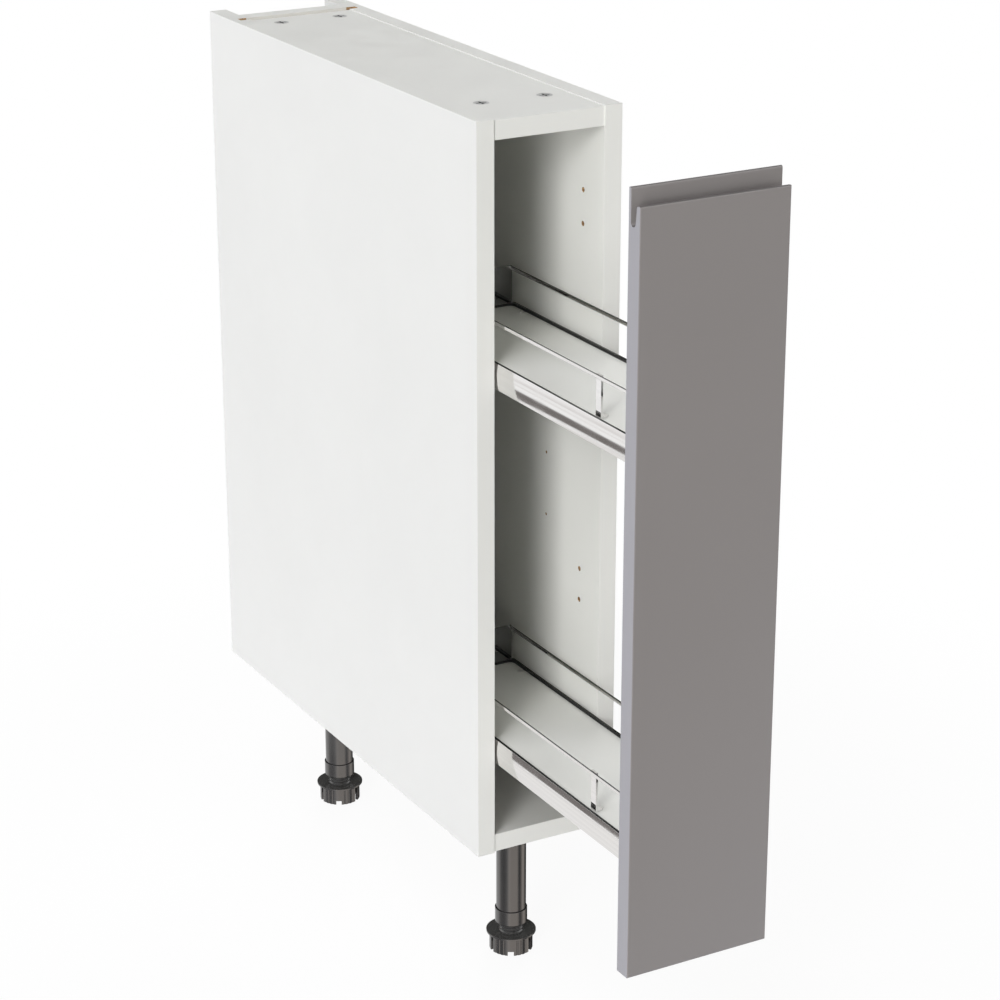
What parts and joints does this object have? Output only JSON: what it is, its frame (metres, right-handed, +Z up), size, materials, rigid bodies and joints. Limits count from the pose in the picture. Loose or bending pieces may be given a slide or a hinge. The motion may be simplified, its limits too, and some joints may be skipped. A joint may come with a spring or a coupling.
{
  "type": "pull-out base cabinet",
  "caption": "Narrow kitchen base cabinet with a grooved-grip front panel and trays with galleries that pull out together on ball-bearing runners, on adjustable legs.",
  "frame": {"origin": "on the floor under the middle of the object as stored, with its pull-out part of the way open", "axes": "+Z up, the front panel faces -Y, X across the width"},
  "size_m": [0.15, 0.8396, 0.87],
  "materials": {
    "white_board": "satin white melamine face on chipboard",
    "edge_strip": "satin white plastic edging",
    "front_paint": "satin grey lacquer on fibreboard",
    "cam_zinc": "dull dark zinc",
    "raw_wood": "bare beech",
    "leg_plastic": "satin black plastic",
    "screw_steel": "zinc plated",
    "runner_steel": "zinc plated",
    "cage_steel": "zinc plated",
    "ball_steel": "polished",
    "frame_steel": "zinc plated",
    "tray_board": "satin pale grey laminate on board",
    "seal_rubber": "satin black",
    "bright_metal": "polished"
  },
  "bodies": {
    "carcass": {"side_panel_left": "white_board", "side_panel_right": "white_board", "top_panel": "white_board", "bottom_panel": "white_board", "back_panel": "white_board", "back_rail": "white_board", "edge_strips": "edge_strip", "cams_top": "cam_zinc", "cams_bottom": "cam_zinc", "cam_bolts": "cam_zinc", "dowels": "raw_wood", "leg_socket_front": "leg_plastic", "leg_socket_rear": "leg_plastic", "leg_screws": "screw_steel", "leg_tube_front": "leg_plastic", "leg_tube_rear": "leg_plastic", "leg_collar_front": "leg_plastic", "leg_collar_rear": "leg_plastic", "runner_outer_lower": "runner_steel", "runner_outer_upper": "runner_steel", "runner_screws": "screw_steel"},
    "front_foot": {"leg_foot_front": "leg_plastic"},
    "rear_foot": {"leg_foot_rear": "leg_plastic"},
    "middle_lower": {"runner_middle_lower": "runner_steel"},
    "middle_upper": {"runner_middle_upper": "runner_steel"},
    "outer_cage_lower": {"cage_outer_lower": "cage_steel", "balls_outer_lower": "ball_steel"},
    "outer_cage_upper": {"cage_outer_upper": "cage_steel", "balls_outer_upper": "ball_steel"},
    "inner_cage_lower": {"cage_inner_lower": "cage_steel", "balls_inner_lower": "ball_steel"},
    "inner_cage_upper": {"cage_inner_upper": "cage_steel", "balls_inner_upper": "ball_steel"},
    "pull_out": {"runner_inner_lower": "runner_steel", "runner_inner_upper": "runner_steel", "tray_bracket_lower": "frame_steel", "tray_bracket_upper": "frame_steel", "bracket_screws": "screw_steel", "front_panel": "front_paint", "front_upright": "frame_steel", "door_bracket_lower": "frame_steel", "door_bracket_upper": "frame_steel", "door_screws": "screw_steel", "upright_screws": "screw_steel", "tray_frame_lower": "bright_metal", "tray_frame_upper": "bright_metal", "tray_board_lower": "tray_board", "tray_board_upper": "tray_board", "tray_seal_lower": "seal_rubber", "tray_seal_upper": "seal_rubber", "gallery_rail_lower": "bright_metal", "gallery_rail_upper": "bright_metal", "rear_guard_lower": "bright_metal", "rear_guard_upper": "bright_metal", "gallery_posts_lower": "bright_metal", "gallery_posts_upper": "bright_metal", "board_clips_lower": "bright_metal", "board_clips_upper": "bright_metal"}
  },
  "joints": [
    {"name": "pull_out_slide", "type": "slide", "parent": "carcass", "child": "pull_out", "axis": [0, -1, 0], "range_m": [-0.25, 0.18]},
    {"name": "middle_lower_slide", "type": "slide", "parent": "carcass", "child": "middle_lower", "axis": [0, -1, 0], "range_m": [-0.125, 0.09]},
    {"name": "outer_cage_lower_slide", "type": "slide", "parent": "carcass", "child": "outer_cage_lower", "axis": [0, -1, 0], "range_m": [-0.0625, 0.045]},
    {"name": "inner_cage_lower_slide", "type": "slide", "parent": "carcass", "child": "inner_cage_lower", "axis": [0, -1, 0], "range_m": [-0.1875, 0.135]},
    {"name": "middle_upper_slide", "type": "slide", "parent": "carcass", "child": "middle_upper", "axis": [0, -1, 0], "range_m": [-0.125, 0.09]},
    {"name": "outer_cage_upper_slide", "type": "slide", "parent": "carcass", "child": "outer_cage_upper", "axis": [0, -1, 0], "range_m": [-0.0625, 0.045]},
    {"name": "inner_cage_upper_slide", "type": "slide", "parent": "carcass", "child": "inner_cage_upper", "axis": [0, -1, 0], "range_m": [-0.1875, 0.135]},
    {"name": "front_foot_adjust", "type": "slide", "parent": "carcass", "child": "front_foot", "axis": [0, 0, -1], "range_m": [-0.008, 0.02]},
    {"name": "rear_foot_adjust", "type": "slide", "parent": "carcass", "child": "rear_foot", "axis": [0, 0, -1], "range_m": [-0.008, 0.02]}
  ],
  "couplings": [
    {"joint": "middle_lower_slide", "follows": "pull_out_slide", "ratio": 0.5},
    {"joint": "outer_cage_lower_slide", "follows": "pull_out_slide", "ratio": 0.25},
    {"joint": "inner_cage_lower_slide", "follows": "pull_out_slide", "ratio": 0.75},
    {"joint": "middle_upper_slide", "follows": "pull_out_slide", "ratio": 0.5},
    {"joint": "outer_cage_upper_slide", "follows": "pull_out_slide", "ratio": 0.25},
    {"joint": "inner_cage_upper_slide", "follows": "pull_out_slide", "ratio": 0.75}
  ]
}
